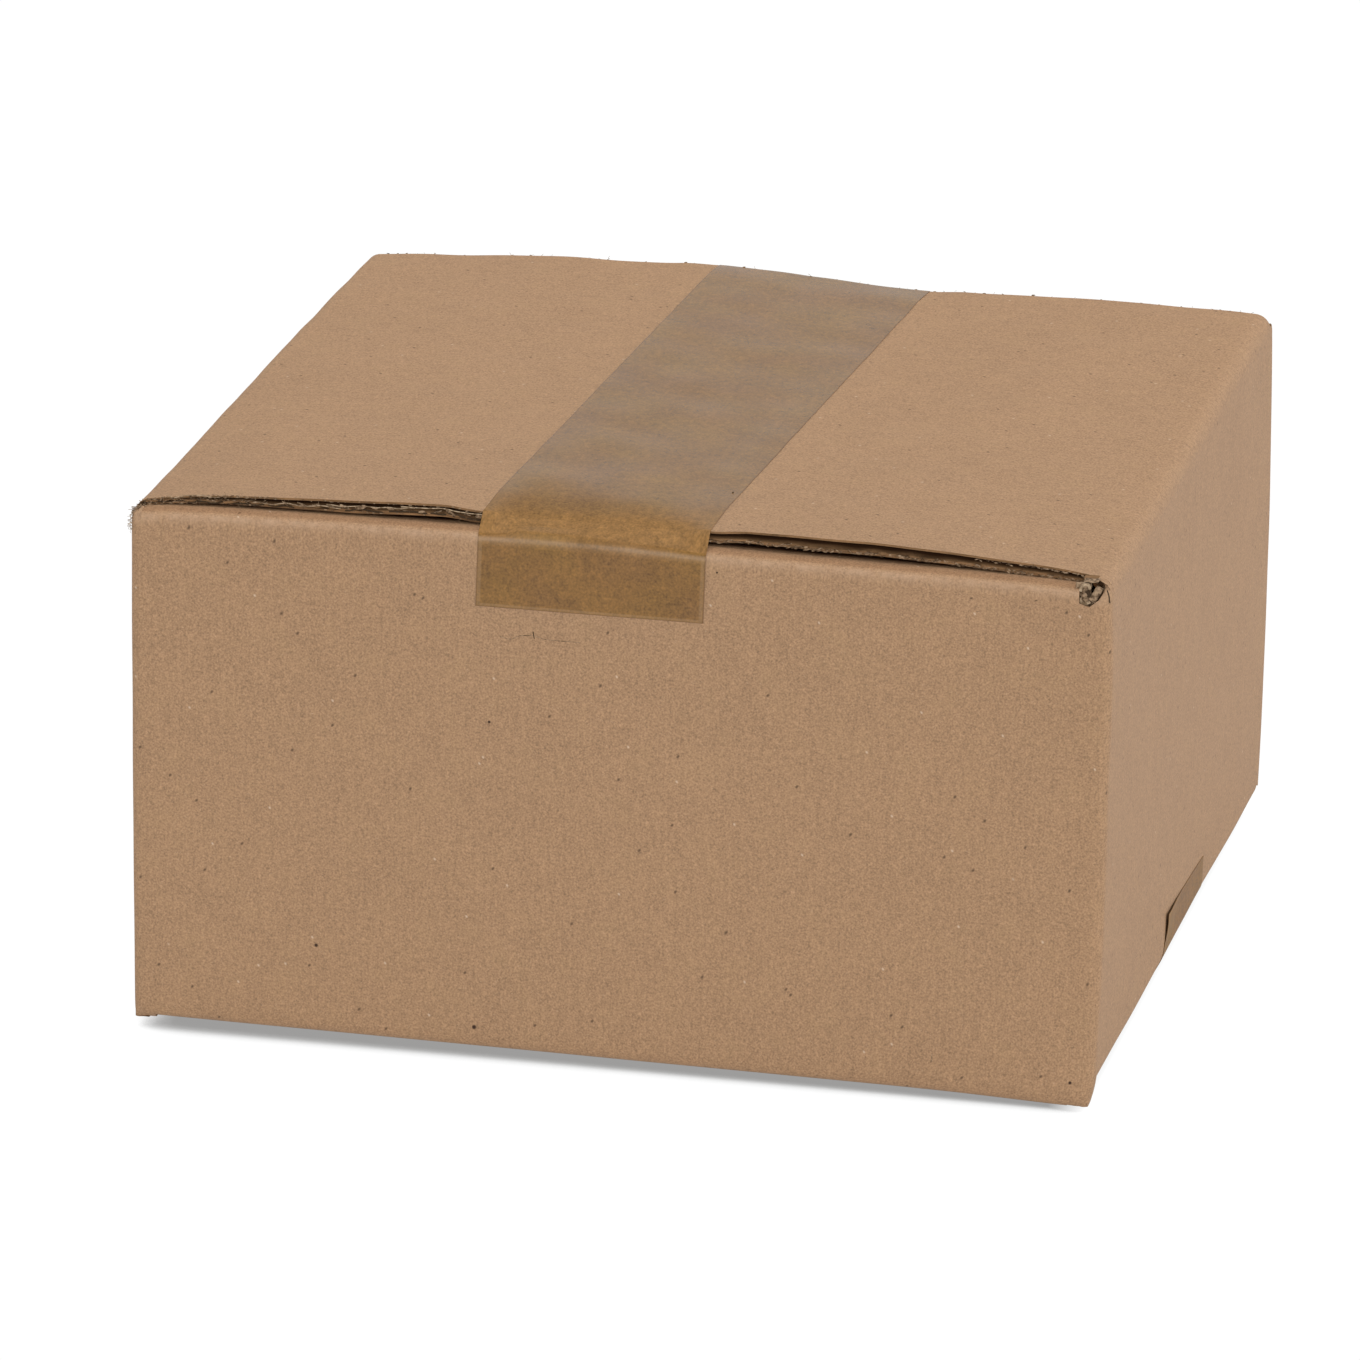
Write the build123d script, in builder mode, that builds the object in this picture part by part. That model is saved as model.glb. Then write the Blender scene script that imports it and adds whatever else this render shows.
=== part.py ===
from build123d import *
from math import acos, atan2, cos, degrees, hypot, radians, sin, tan
import os

os.makedirs("parts", exist_ok=True)

# Frame: +X to the right along the front panel, +Y towards the back panel, +Z up.
# The origin is under the middle of the parcel, on the surface that it stands on.
# All lengths are millimetres and all angles degrees.

# Carton blank: one sheet of single-wall corrugated board
carton_width = 206.0  # outside, left panel to right panel
carton_depth = 206.0  # outside, front panel to back panel
panel_height = 110.4  # lower crease to upper crease, outside, alike on all four panels
board = 3.0  # caliper of the board
facing = 0.45  # each of the board's two flat papers
crease_inner = 0.6  # inside radius of the flap creases
corner_radius = 2.5  # outside radius of the upright creases
slot_clearance = 1.5  # flap side edges stand this much further in than the board is thick
slot_past_crease = 4.0  # the top slots run on below the front crease
corner_lift = 0.4  # the corners end this much above the front panel's lower crease
seam_gap = 1.5  # between the ends of two flaps that meet
flap_gap = 0.35  # air between two flaps that lie on each other
channel_depth = 2.2  # open flute along a cut edge that runs with the flutes

# Outer flaps, which bow outwards from their creases to the seam
left_rise = 3.2  # top left flap
right_rise = 1.7  # top right flap
bottom_sag = 2.6  # both bottom flaps, so the parcel stands on the middle of its bottom
knee_radius = 150.0  # where a flap turns from its slope to its level part

# Glue tab inside the back left corner
tab_width = 32.0
tab_trim = 9.0  # the tab ends this much short of the corner, above and below
joint_reveal = 0.4  # the left panel's raw edge stays this much short of the back face

# Tape
tape_width = 48.0
tape = 0.15  # film and glue together
tape_margin = 6.0  # the outer flaps are level this far beyond their tape
top_tape_shift = -1.2  # middle of the top tape, from the seam, at half depth
top_tape_skew = 2.1  # turn of the top tape against the seam
front_leg = 13.5  # end of the tape below the front panel's upper crease
back_leg = 18.0
bottom_tape_shift = 1.7
right_leg = 9.2  # end of the tape above the right panel's lower crease
left_leg = 16.0
seam_ramp = 12.0  # width of the tape's fall from the left flap to the right flap
overrun = 1.0  # shapes that only cut go past what they cut by this much

# Heights that follow
fold_radius = board + crease_inner
slot_setback = board + slot_clearance
bottom_level = tape  # the bottom flaps lie on the bottom tape
layer_step = board + flap_gap
front_bottom = bottom_level + bottom_sag
front_top = front_bottom + panel_height
side_bottom = front_bottom + layer_step
side_top = side_bottom + panel_height
left_level = side_top + left_rise
right_level = side_top + right_rise
corner_bottom = front_bottom + corner_lift
corner_top = front_top - slot_past_crease

# Plan positions that follow
half_width = carton_width / 2
half_depth = carton_depth / 2
half_seam = seam_gap / 2
cut_front = half_depth - slot_setback  # side edges of the left and right flaps
cut_side = half_width - slot_setback  # side edges of the front and back flaps
skew_shift = half_depth * tan(radians(top_tape_skew))
tape_half_span = tape_width / 2 / cos(radians(top_tape_skew))
top_reach = tape_half_span + skew_shift + abs(top_tape_shift) + tape_margin
bottom_reach = tape_width / 2 + abs(bottom_tape_shift) + tape_margin

RIGHT = Vector(1, 0, 0)
LEFT = Vector(-1, 0, 0)
FRONT = Vector(0, -1, 0)
BACK = Vector(0, 1, 0)
UP = Vector(0, 0, 1)
DOWN = Vector(0, 0, -1)


def section_plane(outward, upward=UP):
    """Plane through the origin, with X out through one panel and Y along upward."""
    return Plane((0, 0, 0), x_dir=outward, z_dir=outward.cross(upward))


def board_band(plane, outline, radii, thickness):
    """A band of even thickness, to the left of an outline with rounded corners."""
    with BuildSketch(plane) as band:
        with BuildLine():
            path = FilletPolyline(*outline, radius=radii) if radii else Polyline(*outline)
            offset(path, amount=thickness, side=Side.LEFT)
        make_face()
    return band.sketch


def fluted_layer(half_span, crease, flap, inwards):
    """Outer side of a flap's fluted layer, from just behind the flap's crease to its end."""
    reach, height = flap[0]
    lift = (height - crease) * fold_radius / (half_span - reach)
    outside = [(half_span - fold_radius, crease + lift)] + flap
    return [(x, z + inwards * facing) for x, z in outside]


def wrap_outline(out, span, level, crease, legs):
    """
    Closed outline under a tape that bends over two cut edges and down on to two panels.
    Its first number is how far it lies outside the tape's glue face, and its heights run
    outwards: up from the carton's middle for the top tape, down for the bottom tape.
    """
    half_span = span / 2
    bend_height = crease - fold_radius
    rise = level - bend_height
    inset = slot_setback - fold_radius
    slope = degrees(acos(fold_radius / hypot(rise, inset)) - atan2(inset, rise))
    slope_length = (rise + fold_radius) / sin(radians(slope))
    with BuildLine() as outline:
        ends = []
        for side, leg in zip((-1, 1), legs):
            face = side * (half_span + out)
            upright = Line((face, crease - leg), (face, bend_height))
            turn = side * (90 - slope)
            bend = JernArc(upright @ 1, (0, 1), fold_radius + out, turn)
            bridge = Line(bend @ 1, bend @ 1 + (bend % 1) * slope_length)
            ends.append((upright @ 0, bridge @ 1))
        Line(ends[0][0], ends[1][0])
        Line(ends[0][1], ends[1][1])
    return outline.line


def envelope(along, across, out, span, crown, crease, legs, half_breadth):
    """Everything under the tape's glue face, or under its outside where out is its thickness."""
    level = max(height for _, height in crown)
    depth = level - crease + max(legs) + 2 * overrun
    with BuildPart() as body:
        with BuildSketch(along):
            make_face(wrap_outline(out, span, level, crease, legs))
        extrude(amount=half_breadth, both=True)
        top = [(x, height + out) for x, height in crown]
        with BuildSketch(across):
            with BuildLine():
                Polyline(*top, (top[-1][0], level - depth), (top[0][0], level - depth), close=True)
            make_face()
        extrude(amount=span / 2 + overrun, both=True, mode=Mode.INTERSECT)
    return body.part


def crown_of_top(half_breadth):
    """Tops of the two flaps across the seam, where the tape falls from the higher one."""
    ramp = [-half_seam, seam_ramp - half_seam]
    if right_level > left_level:
        ramp = [half_seam - seam_ramp, half_seam]
    return [
        (-half_breadth, left_level),
        (ramp[0], left_level),
        (ramp[1], right_level),
        (half_breadth, right_level),
    ]


# What each strip of the blank measures: a panel between a lower and an upper flap.
# A flap is the outside of its free part, from its level stretch or its end to its end.
inner_top = [(half_seam, front_top)]
inner_bottom = [(half_seam, side_bottom)]
outer_bottom = [(bottom_reach, bottom_level), (half_seam, bottom_level)]
left_top = [(top_reach, left_level), (half_seam, left_level)]
right_top = [(top_reach, right_level), (half_seam, right_level)]
strips = [
    (FRONT, half_depth, cut_side, front_bottom, front_top, outer_bottom, inner_top),
    (BACK, half_depth, cut_side, front_bottom, front_top, outer_bottom, inner_top),
    (LEFT, half_width, cut_front, side_bottom, side_top, inner_bottom, left_top),
    (RIGHT, half_width, cut_front, side_bottom, side_top, inner_bottom, right_top),
]
corner_height = corner_top - corner_bottom
folded_corners = [(-1, -1), (1, -1), (1, 1)]

with BuildPart() as carton:
    for outward, half_span, half_cut, low, high, lower, upper in strips:
        # The panel, its two creases and its two flaps are one bent band of board
        plane = section_plane(outward)
        lower_knees = [knee_radius] * (len(lower) - 1)
        upper_knees = [knee_radius] * (len(upper) - 1)
        outline = lower[::-1] + [(half_span, low), (half_span, high)] + upper
        radii = lower_knees + [fold_radius, fold_radius] + upper_knees
        extrude(board_band(plane, outline, radii, board), amount=half_cut, both=True)

        # Open flutes along the side edges of both flaps
        fluted = board - 2 * facing
        lower_layer = fluted_layer(half_span, low, lower, 1)[::-1]
        upper_layer = fluted_layer(half_span, high, upper, -1)
        for layer, knees in ((lower_layer, lower_knees), (upper_layer, upper_knees)):
            channel = board_band(plane, layer, knees, fluted)
            for along in (plane.z_dir, -plane.z_dir):
                extrude(
                    channel.moved(Location(along * (half_cut - channel_depth))),
                    amount=channel_depth,
                    dir=along,
                    mode=Mode.SUBTRACT,
                )

    # Upright creases between the slots, at the three corners that were only folded
    for side_x, side_y in folded_corners:
        tip = Vector(side_x * half_width, side_y * half_depth)
        section = [(0, 0), (slot_setback, 0), (slot_setback, board), (board, board)]
        section += [(board, slot_setback), (0, slot_setback)]
        with BuildSketch(Plane.XY.offset(corner_bottom)):
            with BuildLine():
                Polyline(*[(tip.X - side_x * x, tip.Y - side_y * y) for x, y in section], close=True)
            make_face()
            fillet(vertices().sort_by_distance(tip)[0], corner_radius)
        extrude(amount=corner_height)

    # Glued corner: the left panel's raw edge runs past the tab that the back panel folds to
    raw_edge = half_depth - joint_reveal
    tab_face = half_width - board
    with BuildSketch(Plane.XY.offset(corner_bottom)):
        with Locations((-half_width, cut_front)):
            Rectangle(board, raw_edge - cut_front, align=(Align.MIN, Align.MIN))
        with Locations((-half_width + facing, raw_edge)):
            Rectangle(
                board - 2 * facing,
                channel_depth,
                align=(Align.MIN, Align.MAX),
                mode=Mode.SUBTRACT,
            )
        with Locations((-tab_face, half_depth)):
            Rectangle(tab_face - cut_side, board, align=(Align.MIN, Align.MAX))
    extrude(amount=corner_height)
    with BuildSketch(Plane.YZ.offset(-tab_face)):
        tab_root = half_depth - board
        with BuildLine():
            Polyline(
                (half_depth, corner_bottom + tab_trim),
                (half_depth, corner_top - tab_trim),
                (tab_root, corner_top - tab_trim),
                (tab_root - tab_width, corner_top - 2 * tab_trim),
                (tab_root - tab_width, corner_bottom + 2 * tab_trim),
                (tab_root, corner_bottom + tab_trim),
                close=True,
            )
        make_face()
    extrude(amount=board)
carton.part.label = "carton"
export_step(carton.part, "parts/carton.step")

# Top tape: along the seam between the left and right flaps, and down two panels
top_legs = (front_leg, back_leg)
wide_reach = top_reach + overrun
seam_run = section_plane(BACK)
seam_cross = section_plane(RIGHT)
sketch_end = half_depth + overrun
lean = sketch_end * tan(radians(top_tape_skew))
with BuildPart() as top_tape:
    add(envelope(
        seam_run, seam_cross, tape, carton_depth, crown_of_top(top_reach),
        front_top, top_legs, top_reach,
    ))
    with BuildSketch():
        with BuildLine():
            Polyline(
                (top_tape_shift - lean - tape_half_span, -sketch_end),
                (top_tape_shift - lean + tape_half_span, -sketch_end),
                (top_tape_shift + lean + tape_half_span, sketch_end),
                (top_tape_shift + lean - tape_half_span, sketch_end),
                close=True,
            )
        make_face()
    extrude(amount=left_level + right_level, mode=Mode.INTERSECT)
    add(envelope(
        seam_run, seam_cross, 0, carton_depth, crown_of_top(wide_reach),
        front_top, [leg + overrun for leg in top_legs], wide_reach,
    ), mode=Mode.SUBTRACT)
top_tape.part.label = "top_tape"
export_step(top_tape.part, "parts/top_tape.step")

# Bottom tape: under the seam between the front and back flaps, and up two panels
bottom_legs = (left_leg, right_leg)
bottom_run = section_plane(RIGHT, DOWN)
bottom_cross = section_plane(BACK, DOWN)
near_edge = bottom_tape_shift - tape_width / 2
far_edge = bottom_tape_shift + tape_width / 2
with BuildPart() as bottom_tape:
    add(envelope(
        bottom_run, bottom_cross, tape, carton_width,
        [(near_edge, -bottom_level), (far_edge, -bottom_level)],
        -side_bottom, bottom_legs, bottom_reach,
    ))
    add(envelope(
        bottom_run, bottom_cross, 0, carton_width,
        [(near_edge - overrun, -bottom_level), (far_edge + overrun, -bottom_level)],
        -side_bottom, [leg + overrun for leg in bottom_legs], bottom_reach,
    ), mode=Mode.SUBTRACT)
bottom_tape.part.label = "bottom_tape"
export_step(bottom_tape.part, "parts/bottom_tape.step")
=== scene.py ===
from math import cos, pi, radians, sin

import bpy
import numpy as np
from mathutils import Matrix, Vector


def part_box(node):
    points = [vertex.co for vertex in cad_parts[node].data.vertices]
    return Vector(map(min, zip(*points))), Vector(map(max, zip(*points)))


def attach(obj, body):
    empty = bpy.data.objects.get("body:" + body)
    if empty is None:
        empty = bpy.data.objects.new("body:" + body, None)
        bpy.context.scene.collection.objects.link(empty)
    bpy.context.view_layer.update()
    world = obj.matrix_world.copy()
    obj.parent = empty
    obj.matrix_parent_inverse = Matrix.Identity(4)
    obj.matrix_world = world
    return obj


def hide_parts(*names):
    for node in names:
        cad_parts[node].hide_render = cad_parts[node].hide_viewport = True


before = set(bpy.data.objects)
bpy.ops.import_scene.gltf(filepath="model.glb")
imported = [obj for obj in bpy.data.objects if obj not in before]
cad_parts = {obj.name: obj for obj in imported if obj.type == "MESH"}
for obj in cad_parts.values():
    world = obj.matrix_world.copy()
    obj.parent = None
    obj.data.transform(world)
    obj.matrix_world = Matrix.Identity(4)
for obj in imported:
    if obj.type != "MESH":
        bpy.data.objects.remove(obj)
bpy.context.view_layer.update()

# All sizes are millimetres until a mesh is made from them. The frame is the carton's: +X to the right
# along the front panel, +Y to the back panel, +Z up, with the origin on the floor under its middle.
MM = 0.001

# Carton
_, carton_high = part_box("carton")
half_width = carton_high.x / MM
half_depth = carton_high.y / MM
board = 3.0
facing = 0.45
fold_radius = 3.6
front_radius = 3.4  # the front panel's upper fold, which is squarer
tape_radius = 2.4  # the top tape's fold over it
tape_rest = 0.15  # and how far it stands clear
corner_radius = 2.5
tab_radius = 1.0  # the crease that the glue tab turns in at
tab_columns = (6, 20)  # how far along the tab its two columns of points lie
joint_reveal = 0.4  # the left panel's raw edge stays this much short of the back face
slot_setback = 4.5
panel_height = 110.4
front_low = 2.75  # lower creases of the front and back panels
layer_step = 3.35
side_low = front_low + layer_step
front_high = front_low + panel_height
side_high = side_low + panel_height
slot_low = front_high - 4.0  # the upper slots end here
seam_half_gap = 0.75
floor_clearance = 0.15  # the bottom tape lies under the bottom flaps

# Board section at a cut edge that runs with the flutes
flute_pitch = 6.3
medium = 0.22
tear_depth, tear_jitter = 0.40, 0.2

# Tape
tape_width = 48.0
film = 0.09
film_gap = 0.03
top_tape_front = -4.8  # its middle line, at the front fold and at the back fold
top_tape_back = 2.1
front_leg = 13.6
back_leg = 18.0
fold_along = 14.7  # how far along the film its fold over the front panel's crease lies
ramp_front, ramp_back = 12, 19  # the film comes down to the right flap over this width at each end
bottom_tape_middle = 1.7
right_leg = 9.2
right_skew = 2.3  # its near corner ends this much higher
right_lift = 0.55  # and stands this far off the panel
left_leg = 16.0


def smooth_step(low, high, value):
    """0 below low, 1 above high, and an even curve between them."""
    t = np.clip((np.asarray(value, float) - low) / (high - low), 0, 1)
    return t * t * (3 - 2 * t)


def through(points, value):
    """A smooth curve through a few chosen points, read at each value."""
    xs, ys = np.array(points, float).T
    value = np.clip(np.asarray(value, float), xs[0], xs[-1])
    slopes = np.gradient(ys, xs)
    i = np.clip(np.searchsorted(xs, value) - 1, 0, len(xs) - 2)
    step = xs[i + 1] - xs[i]
    t = (value - xs[i]) / step
    return (
        ys[i] * (1 + 2 * t) * (1 - t) ** 2
        + slopes[i] * step * t * (1 - t) ** 2
        + ys[i + 1] * t * t * (3 - 2 * t)
        + slopes[i + 1] * step * t * t * (t - 1)
    )


def ripple(seed, size, *coordinates):
    """A smooth random field of about plus or minus one, with waves of the given size and larger."""
    rng = np.random.default_rng(seed)
    total = 0
    for _ in range(7):
        direction = rng.normal(size=len(coordinates))
        direction /= np.linalg.norm(direction)
        wave = 2 * pi / (size * rng.uniform(0.8, 2.4))
        phase = rng.uniform(0, 2 * pi)
        total = total + np.sin(wave * sum(c * d for c, d in zip(coordinates, direction)) + phase)
    return total / 3.2


def graded(start, end, fine, coarse):
    """Positions from start to end whose spacing grows from fine at both ends to coarse between them."""
    steps = [0.0]
    step = fine
    half = (end - start) / 2
    while steps[-1] < half:
        steps.append(steps[-1] + step)
        step = min(step * 1.35, coarse)
    near = np.array(steps) * half / steps[-1]
    return np.concatenate([start + near, (end - near)[-2::-1]])


# Height of the top flaps' outer faces over the side creases, by x, along their front and back edges
left_front = [(-100, -0.8), (-87, 0.8), (-70, 1.6), (-53, 2.4), (-36, 2.8), (-20, 3.1), (0, 3.0)]
left_back = [(-100, 0.1), (-84, 1.3), (-60, 2.8), (-44, 3.0), (-33, 3.3), (-22, 4.1), (-12, 3.7), (0, 2.9)]
right_front = [(0, 1.9), (19, 2.5), (27, 2.05), (39, 1.95), (53, 1.75), (65, 1.3), (73, 0.7), (81, 0.2)]
right_front += [(93, -0.75), (100, -1.7)]
right_back = [(0, 2.2), (18, 1.85), (28, 1.5), (52, 1.6), (68, 1.9), (84, 1.4), (100, 0.6)]
# Height of the front panel's upper fold over its crease line, by x
front_fold = [(-103, 1.0), (-96, 1.6), (-86, 2.0), (-70, 2.2), (-55, 2.35), (-30, 2.45), (0, 2.4), (20, 1.75)]
front_fold += [(37, 1.45), (49, 1.25), (62, 1.05), (73, 0.95), (85, 0.7), (95, 0.3), (103, -0.2)]
# Thickness of the board along the top flaps' front edges, which are crushed towards the corners
crushed = [(-100, 1.2), (-85, 1.7), (-72, 2.2), (-60, 2.6), (-36, 2.6), (20, 2.3), (39, 2.7), (61, 2.7)]
crushed += [(75, 2.5), (93, 2.1), (100, 1.6)]
crush_depth = 6.0

# How the top tape draws the flaps' edges down where it leaves them: its middle there, the edge, and how
# far it draws the board down beside it, under it, further under its left side, and at the very edge
cut_front = half_depth - slot_setback
tape_pulls = (
    (top_tape_front, -cut_front, 1.0, 0.2, 1.3, 0.9),
    (top_tape_back, cut_front, 0.6, 0.0, 0.0, 0.0),
)


def top_height(x, y):
    """Height of the top flaps' outer faces."""
    back = smooth_step(-half_depth, half_depth, y)
    left = through(left_front, x) * (1 - back) + through(left_back, x) * back
    right = through(right_front, x) * (1 - back) + through(right_back, x) * back
    lift = np.where(np.asarray(x) < 0, left, right)
    on_left = 1 - smooth_step(-14, 10, x)
    for middle, edge, beside, under, under_left, curl in tape_pulls:
        off = np.abs(x - middle)
        inward = np.abs(y - edge)
        near_tape = 1 - smooth_step(tape_width / 2, 33, off)
        in_film = 1 - smooth_step(14, tape_width / 2, off)
        # Each pull: its size, where it acts, how far in from the edge it reaches, and how fast it fades
        for pull, where, reach, power in (
            (beside, near_tape, 13, 1.4),
            (under + under_left * on_left, in_film, 24, 1.7),
            (curl, in_film, 4.5, 2),
        ):
            lift = lift - pull * where * np.clip(1 - inward / reach, 0, 1) ** power
    return side_high + lift + 0.10 * ripple(11, 16, x, y)


def fold_height(side, x):
    """Height of the front panel's upper fold, or the back panel's."""
    return front_high + (through(front_fold, x) if side == "front" else 0.6 + 0 * x)


def under_height(out):
    """Height of the bottom outer flaps' outer faces, at a distance from the seam."""
    level = tape_width / 2 + bottom_tape_middle + 6
    t = np.clip((np.abs(out) - level) / (half_depth - fold_radius - level), 0, 1)
    return floor_clearance + (front_low - floor_clearance) * t * t * 1.06 / (t + 0.06)


# How far the right panel stands out of true at its front corner, by height
right_corner = [(0, -1.9), (3, -1.5), (6, -0.7), (19, 0.3), (36, 0.85), (70, 1.1), (100, 1.2)]
right_corner += [(112, 0.7), (118, 0.3)]
# How far the middles of the panels stand out, and the size and height of their faint waves
right_bulge, right_lean = 0.75, 0.35
front_bulge = 0.5
wave_size, wave_height = 22, 0.05
# How far the lower creases have fallen: the front panel's in its middle, and how much more at its right
# end, then the right panel's in its front half, and how much more at its back end
front_fall, further_right = 0.95, 0.85
right_fall, further_back = 0.7, 1.2


def bend(points):
    """The small ways in which the carton's walls are out of true, for any points on it."""
    x, y, z = points[..., 0], points[..., 1], points[..., 2]
    height = z / side_high
    bulge = np.sin(pi * np.clip(height, 0, 1)) ** 0.8
    to_right = smooth_step(0, half_width, x)
    to_left = smooth_step(0, half_width, -x)
    to_front = smooth_step(0, half_depth, -y)
    to_back = smooth_step(0, half_depth, y)
    crease = np.exp(-(((z - side_high) / 6) ** 2))
    moved = np.array(points, float)
    wave = wave_height * ripple(5, wave_size, y, z)
    corner = 1 - smooth_step(-half_depth, -30, y)
    stands_out = (right_bulge * bulge + right_lean) * (1 - corner) + through(right_corner, z) * corner
    moved[..., 0] += to_right * (stands_out + wave)
    # The left panel leans out towards its top, and its upper crease stands out further towards the back
    far = smooth_step(-75, 15, y)
    leans = 0.45 - 0.5 * (1 - height) + 0.5 * crease * far - 0.05 * crease * (1 - far)
    moved[..., 0] -= to_left * (wave + leans)
    wave = wave_height * ripple(6, wave_size, x, z)
    moved[..., 1] += (to_back - to_front) * (front_bulge * bulge + wave)
    # The lower creases fall towards the right on the front panel, and to the back on the right one
    near_floor = (1 - smooth_step(0, 0.35, height)) * smooth_step(0, 3, z)
    moved[..., 2] -= to_front * near_floor * (front_fall + further_right * x / half_width)
    moved[..., 2] -= to_right ** 8 * near_floor * (right_fall + further_back * smooth_step(0, 90, y))
    moved[..., 2] += to_left ** 12 * crease * 0.4 * far + to_right ** 12 * crease * to_back * 0.7
    return moved


class Sheet:
    """
    Folded board. Its outer face is a set of quads over shared points, its inner face lies behind
    them, and strips close its cut edges. Each point also has its place on the flat blank.
    """

    def __init__(self):
        self.outer, self.inner, self.flat, self.wear_and_painted_light = [], [], [], []
        self.quads, self.open_edges = [], []

    def place(self, outer, inner, flat, wear_and_painted_light=0.0):
        """Adds points and returns their numbers, in the shape in which they came."""
        shape = outer.shape[:-1]
        start = len(self.outer)
        self.outer.extend(outer.reshape(-1, 3))
        self.inner.extend(inner.reshape(-1, 3))
        self.flat.extend(flat.reshape(-1, 2))
        self.wear_and_painted_light.extend(np.broadcast_to(wear_and_painted_light, shape).ravel())
        return np.arange(start, len(self.outer)).reshape(shape)

    def fill(self, numbers):
        """Quads between neighbouring points, where columns run anticlockwise and rows run up."""
        a, b = numbers[:-1, :-1], numbers[:-1, 1:]
        d, c = numbers[1:, :-1], numbers[1:, 1:]
        self.quads.extend(np.stack([a, b, c, d], -1).reshape(-1, 4).tolist())

    def open_edge(self, numbers, out, phase, seed):
        """Marks a chain of edge points whose cut runs along the flutes, and so leaves one open."""
        self.open_edges.append((list(numbers), np.array(out, float), phase, seed))


def flute_section(thickness, phase, tear):
    """
    The cut edge of corrugated board, cut along a flute, from its outer paper to its inner one.
    Each point is a depth into the board and a share of the board's thickness.
    """
    paper = min(facing, 0.2 * thickness) / thickness
    wave = medium / thickness / 2
    swing = 0.5 - paper - wave
    to_outer = (pi - phase) / (2 * pi) * flute_pitch
    to_inner = (2 * pi - phase) / (2 * pi) * flute_pitch

    def middle(depth):
        return 0.5 + swing * cos(2 * pi * depth / flute_pitch + phase)

    section = [(0, 0), (0, paper), (to_outer * 0.5, paper), (to_outer, paper)]
    for share in (0.8, 0.6, 0.4, 0.2):
        section.append((to_outer * share, middle(to_outer * share) - wave))
    section += [(tear, middle(0) - wave), (tear, middle(0) + wave)]
    for share in (0.15, 0.35, 0.6, 0.8):
        section.append((to_inner * share, middle(to_inner * share) + wave))
    section += [(to_inner, 1 - paper), (0, 1 - paper), (0, 1)]
    section[1:-1] = [(depth, min(max(t, paper), 1 - paper)) for depth, t in section[1:-1]]
    return section


def run_along(points):
    """How far along a chain of points each of them lies."""
    return np.concatenate([[0], np.cumsum(np.linalg.norm(np.diff(points, axis=0), axis=1))])


def in_scene(name, data):
    """A new object in the scene."""
    made = bpy.data.objects.new(name, data)
    bpy.context.scene.collection.objects.link(made)
    return made


def new_mesh(name, points, faces, edges=()):
    """A mesh from points in millimetres."""
    mesh = bpy.data.meshes.new(name)
    mesh.from_pydata(points * MM, edges, faces)
    return mesh


def mark_mesh(mesh, uv_name, places, fields):
    """Gives a mesh its UV map, in millimetres, and named numbers on its points."""
    uv = mesh.uv_layers.new(name=uv_name)
    uv.data.foreach_set("uv", (np.array(places) * MM).ravel())
    for label, values in fields.items():
        mesh.attributes.new(label, "FLOAT", "POINT").data.foreach_set("value", values)


def finish_sheet(sheet, name, materials):
    """Closes the sheet's edges and makes its mesh, with the blank as its UV map."""
    outer, inner, flat = np.array(sheet.outer), np.array(sheet.inner), np.array(sheet.flat)
    count = len(outer)
    points = [outer, inner]
    depths = [0.0] * (2 * count)
    faces, kinds, places = [], [], []

    def add_face(numbers, kind, place):
        faces.append(numbers)
        kinds.append(kind)
        places.extend(place)

    used = {}  # each quad's edges, in the order in which they come
    for quad in sheet.quads:
        add_face(quad, 0, flat[quad])
        add_face([number + count for number in reversed(quad)], 2, flat[quad[::-1]])
        for a, b in zip(quad, quad[1:] + quad[:1]):
            used[(a, b)] = True
    rim = [(a, b) for a, b in used if (b, a) not in used]

    total = 2 * count
    along_flutes = set()
    for chain, out, phase, seed in sheet.open_edges:
        rng = np.random.default_rng(seed)
        thickness = np.linalg.norm(inner[chain] - outer[chain], axis=1)
        run = run_along(outer[chain])
        tears = tear_depth * ripple(seed, 3.5, run) + tear_depth * ripple(seed + 1, 1.3, run)
        phases = np.clip(phase(run / run[-1]) + 0.25 * ripple(seed + 2, 9, run), 0.05, 2.9)
        rows = []
        for i, number in enumerate(chain):
            tear = tears[i] + rng.uniform(-tear_jitter, tear_jitter)
            section = flute_section(thickness[i], phases[i], tear)
            across = inner[number] - outer[number]
            fresh = [outer[number] + across * t - out * depth for depth, t in section[1:-1]]
            points.append(np.array(fresh))
            depths.extend(depth for depth, _ in section[1:-1])
            rows.append([number] + list(range(total, total + len(fresh))) + [number + count])
            total += len(fresh)
        forwards = (chain[0], chain[1]) in used
        widths = [t * board for _, t in section]
        for i in range(len(rows) - 1):
            along_flutes.update([(chain[i], chain[i + 1]), (chain[i + 1], chain[i])])
            for j in range(len(widths) - 1):
                face = [rows[i + 1][j], rows[i][j], rows[i][j + 1], rows[i + 1][j + 1]]
                place = [(run[i + 1], widths[j]), (run[i], widths[j])]
                place += [(run[i], widths[j + 1]), (run[i + 1], widths[j + 1])]
                if not forwards:
                    face, place = face[::-1], place[::-1]
                add_face(face, 1, place)
        for row, flip in ((rows[0], not forwards), (rows[-1], forwards)):
            add_face(row[::-1] if flip else row, 1, [(0, width) for width in widths])

    for a, b in rim:
        if (a, b) in along_flutes:
            continue
        start, end = (flat[a][0], flat[b][0]) if abs(flat[a][0] - flat[b][0]) > 0.01 else (0, 0)
        place = [(end, 0), (start, 0), (start, board), (end, board)]
        add_face([b, a, a + count, b + count], 1, place)

    points = bend(np.concatenate(points))
    mesh = new_mesh(name, points, faces)
    mesh.polygons.foreach_set("material_index", kinds)
    wear_and_painted_light = list(sheet.wear_and_painted_light) + [0.0] * (len(points) - count)
    mark_mesh(mesh, "blank", places, {"wear_and_painted_light": wear_and_painted_light, "depth": depths})
    return finish_mesh(mesh, materials)


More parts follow.
